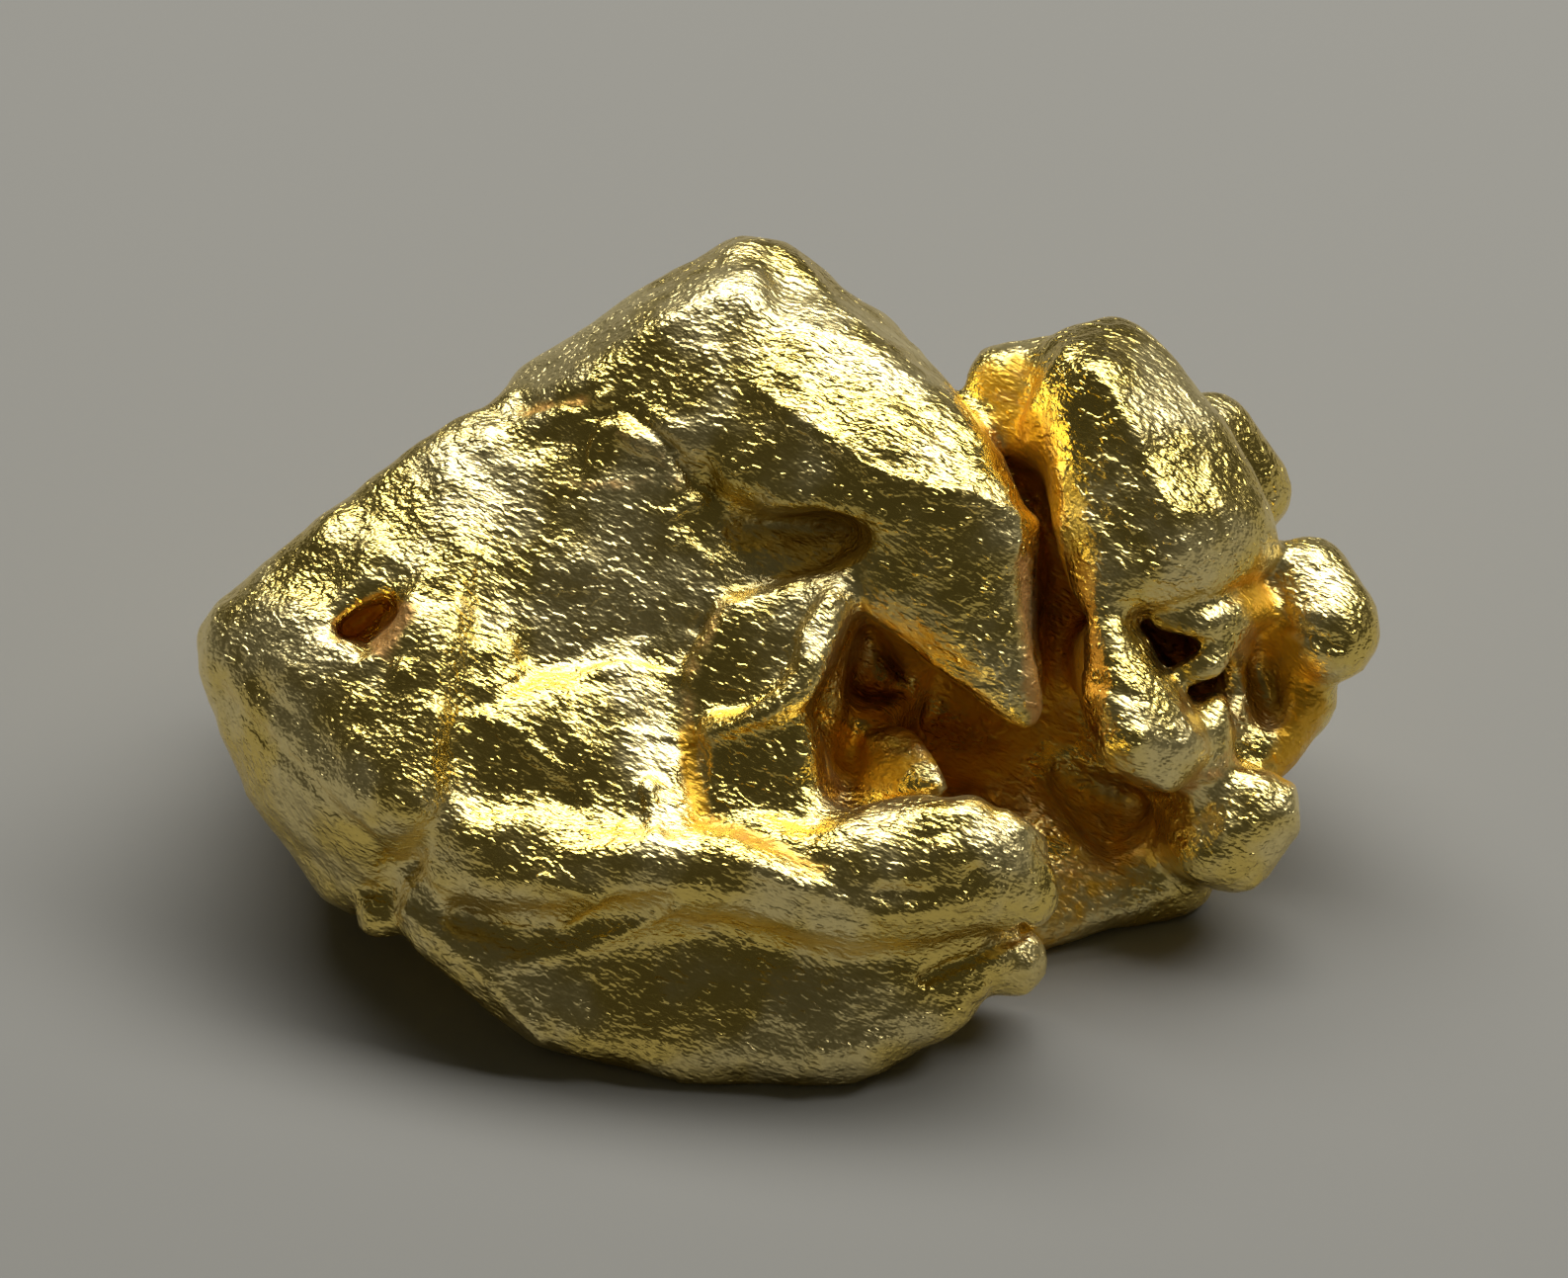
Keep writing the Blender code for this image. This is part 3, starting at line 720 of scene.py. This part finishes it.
@dataclass
class Nugget:
    """The whole nugget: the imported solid's form with a fine skin, sharpened folds and knocks.

    Its lengths are in millimetres, because it is worked in the face frame until it is put in place.
    """

    voxel: float = 0.0635  # the size of the skin's even cells; as fine as the limit on triangles lets the skin be
    merge_gap: float = 1e-4
    round_off: int = 4
    least_weight: float = 0.001  # a stroke leaves points with less than this alone
    finish: NativeGold = field(default_factory=NativeGold)
    strokes: tuple[Stroke, ...] = FOLDS
    hammer: tuple[Dents, ...] = (Dents(0.9, 0.07), Dents(0.42, 0.035), Dents(0.19, 0.014))
    rays: int = 14  # sent out from each point to see how shut in it is
    ray_lift: float = 0.02
    ray_reach: float = 2.0

    def build(self) -> bpy.types.Object:
        """Makes the finished piece.

        Returns:
            The nugget, riding on the root body.
        """
        piece = self.copy_form()
        self.refine(piece)
        self.press(piece)
        self.knock(piece)
        self.mark_hollows(piece)
        piece.data.transform(FACE.to_world())
        self.stand(piece)
        piece.data.materials.clear()
        piece.data.materials.append(self.finish.material())
        piece.data.shade_smooth()
        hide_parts("nugget")
        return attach(piece, "root")

    def copy_form(self) -> bpy.types.Object:
        """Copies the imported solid.

        Returns:
            One closed mesh in the face frame, in millimetres.
        """
        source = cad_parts["nugget"]
        piece = bpy.data.objects.new("nugget_skin", source.data.copy())
        bpy.context.scene.collection.objects.link(piece)
        piece.data.transform(FACE.to_world().inverted())
        bpy.ops.object.select_all(action="DESELECT")
        piece.select_set(True)
        bpy.context.view_layer.objects.active = piece
        bpy.ops.object.mode_set(mode="EDIT")
        bpy.ops.mesh.select_all(action="SELECT")
        bpy.ops.mesh.remove_doubles(threshold=self.merge_gap)
        bpy.ops.object.mode_set(mode="OBJECT")
        return piece

    def apply(self, piece: bpy.types.Object, kind: str, **settings: object) -> None:
        """Adds a modifier to the piece and applies it.

        Args:
            piece: The mesh object.
            kind: Blender's name of the modifier type.
            **settings: The modifier's properties.
        """
        modifier = piece.modifiers.new(kind.lower(), kind)
        for name, value in settings.items():
            setattr(modifier, name, value)
        with bpy.context.temp_override(object=piece):
            bpy.ops.object.modifier_apply(modifier=modifier.name)

    def refine(self, piece: bpy.types.Object) -> None:
        """Lays an even, fine skin over the form and takes off its facets."""
        self.apply(piece, "REMESH", mode="VOXEL", voxel_size=self.voxel)
        self.apply(piece, "SMOOTH", factor=0.5, iterations=self.round_off)

    def press(self, piece: bpy.types.Object) -> None:
        """Raises the ridges and sinks the creases, and marks where the iron film and the painted orange
        bounce light lie.

        Args:
            piece: The nugget, in the face frame and millimetres.
        """
        points = self.points(piece)
        film = np.zeros(len(points))
        # How much painted orange bounce light each point takes.
        painted_bounce_share = np.zeros(len(points))
        for stroke in self.strokes:
            weights = stroke.weights(points)
            film = np.maximum(film, stroke.stain * weights)
            painted_bounce_share = np.maximum(painted_bounce_share, stroke.painted_bounce_share * weights)
            if stroke.press is Press.STAY:
                continue
            group = piece.vertex_groups.new(name="stroke")
            for index in np.flatnonzero(weights > self.least_weight):
                group.add([int(index)], float(weights[index]), "REPLACE")
            self.apply(
                piece,
                "DISPLACE",
                vertex_group="stroke",
                mid_level=0.0,
                strength=stroke.press.value * stroke.amount,
            )
            piece.vertex_groups.clear()
        self.mark(piece, "stain", film)
        self.mark(piece, "painted_bounce_share", painted_bounce_share)

    def mark(self, piece: bpy.types.Object, name: str, values: np.ndarray) -> None:
        """Stores a value at each point of the mesh, under a name."""
        attribute = piece.data.attributes.new(name, "FLOAT", "POINT")
        attribute.data.foreach_set("value", values.astype(np.float32))

    def knock(self, piece: bpy.types.Object) -> None:
        """Covers the skin with dents, from shallow hollows down to hammer marks.

        Args:
            piece: The nugget, in the face frame and millimetres.
        """
        for number, dents in enumerate(self.hammer):
            texture = bpy.data.textures.new(f"dents_{number}", "CLOUDS")
            texture.noise_scale = dents.size
            texture.noise_depth = 1
            self.apply(
                piece,
                "DISPLACE",
                texture=texture,
                texture_coords="LOCAL",
                mid_level=0.5,
                strength=dents.depth,
            )

    def stand(self, piece: bpy.types.Object) -> None:
        """Flattens what would sink below the ground.

        Args:
            piece: The nugget, in place and in metres.
        """
        points = self.points(piece)
        points[:, 2] = np.maximum(points[:, 2], 0.0)
        piece.data.vertices.foreach_set("co", points.astype(np.float32).ravel())
        piece.data.update()

    def points(self, piece: bpy.types.Object) -> np.ndarray:
        """Reads the mesh's points.

        Args:
            piece: The mesh object.

        Returns:
            The points, in rows of three.
        """
        points = np.empty(len(piece.data.vertices) * 3, np.float32)
        piece.data.vertices.foreach_get("co", points)
        return points.reshape(-1, 3).astype(np.float64)

    def mark_hollows(self, piece: bpy.types.Object) -> None:
        """Stores how shut in each point is, 0 in the open to 1 deep in a crease.

        Args:
            piece: The nugget, in the face frame and millimetres.
        """
        mesh = piece.data
        form = bmesh.new()
        form.from_mesh(mesh)
        tree = BVHTree.FromBMesh(form)
        golden = math.pi * (3 - math.sqrt(5))
        spread = []
        for number in range(self.rays):
            height = (number + 0.5) / self.rays
            flat = math.sqrt(1 - height * height)
            turned = golden * number
            spread.append(Vector((flat * math.cos(turned), flat * math.sin(turned), height)))
        values = np.zeros(len(form.verts), np.float32)
        form.normal_update()
        for vert in form.verts:
            turn = vert.normal.to_track_quat("Z", "X")
            start = vert.co + vert.normal * self.ray_lift
            hits = 0.0
            for direction in spread:
                if tree.ray_cast(start, turn @ direction, self.ray_reach)[0] is not None:
                    hits += 1.0
            values[vert.index] = hits / self.rays
        form.free()
        self.mark(piece, "hollow", values)


@dataclass(frozen=True)
class SoftLamp:
    """A rectangular light that looks at the nugget, in metres and watts."""

    name: str
    place: tuple[float, float, float]
    size: tuple[float, float]
    power: float

    def hang(self) -> None:
        """Hangs the lamp in its place."""
        data = bpy.data.lights.new(self.name, "AREA")
        data.shape = "RECTANGLE"
        data.size, data.size_y = self.size
        data.energy = self.power
        lamp = bpy.data.objects.new(self.name, data)
        bpy.context.scene.collection.objects.link(lamp)
        lamp.location = self.place
        lamp.rotation_mode = "QUATERNION"
        lamp.rotation_quaternion = (-Vector(self.place)).to_track_quat("-Z", "Y")


@dataclass
class Studio:
    """The pale floor, the long soft light over the nugget and the camera, in metres."""

    floor: str = "98968f"
    floor_size: float = 3.0
    floor_roughness: float = 0.9
    room: str = "3a382e"
    key: SoftLamp = SoftLamp("key", (0.016, 0.040, 0.090), (0.18, 0.040), 0.145)  # a little behind it
    camera_distance: float = 0.150
    frame_width: float = 0.01587
    film_mm: float = 36.0
    aim: tuple[float, float] = (-0.025, 0.185)  # point of the face frame at the middle of the view

    def build(self) -> None:
        """Makes the floor, the light, the room and the camera."""
        self.lay_floor()
        self.key.hang()
        self.dim_room()
        self.place_camera()

    def lay_floor(self) -> None:
        """Lays the floor under the nugget."""
        bpy.ops.mesh.primitive_plane_add(size=self.floor_size, location=(0, 0, 0))
        floor = bpy.context.active_object
        floor.name = "floor"
        paper = bpy.data.materials.new("matt_card")
        paper.use_nodes = True
        shader = paper.node_tree.nodes["Principled BSDF"]
        shader.inputs["Base Color"].default_value = linear(self.floor)
        shader.inputs["Roughness"].default_value = self.floor_roughness
        floor.data.materials.append(paper)

    def dim_room(self) -> None:
        """Gives the room round the nugget a dim even tone, and keeps the contrast of bare metal."""
        world = bpy.data.worlds.new("room")
        world.use_nodes = True
        world.node_tree.nodes["Background"].inputs["Color"].default_value = linear(self.room)
        bpy.context.scene.world = world
        bpy.context.scene.view_settings.view_transform = "Standard"

    def place_camera(self) -> None:
        """Points a long lens straight at the broad face."""
        data = bpy.data.cameras.new("camera")
        data.sensor_width = self.film_mm
        data.lens = data.sensor_width * self.camera_distance / self.frame_width
        data.clip_start = MM
        camera = bpy.data.objects.new("camera", data)
        bpy.context.scene.collection.objects.link(camera)
        world = FACE.to_world()
        target = world @ Vector((self.aim[0], self.aim[1], 0.0))
        camera.location = target + FACE.outward() * self.camera_distance
        camera.rotation_euler = world.to_euler()
        bpy.context.scene.camera = camera


def main() -> None:
    """Builds the nugget and its studio."""
    logging.basicConfig(level=logging.INFO, format="%(message)s")
    nugget = Nugget().build()
    log.info("%s: %d points", nugget.name, len(nugget.data.vertices))
    Studio().build()


if __name__ == "__main__":
    main()
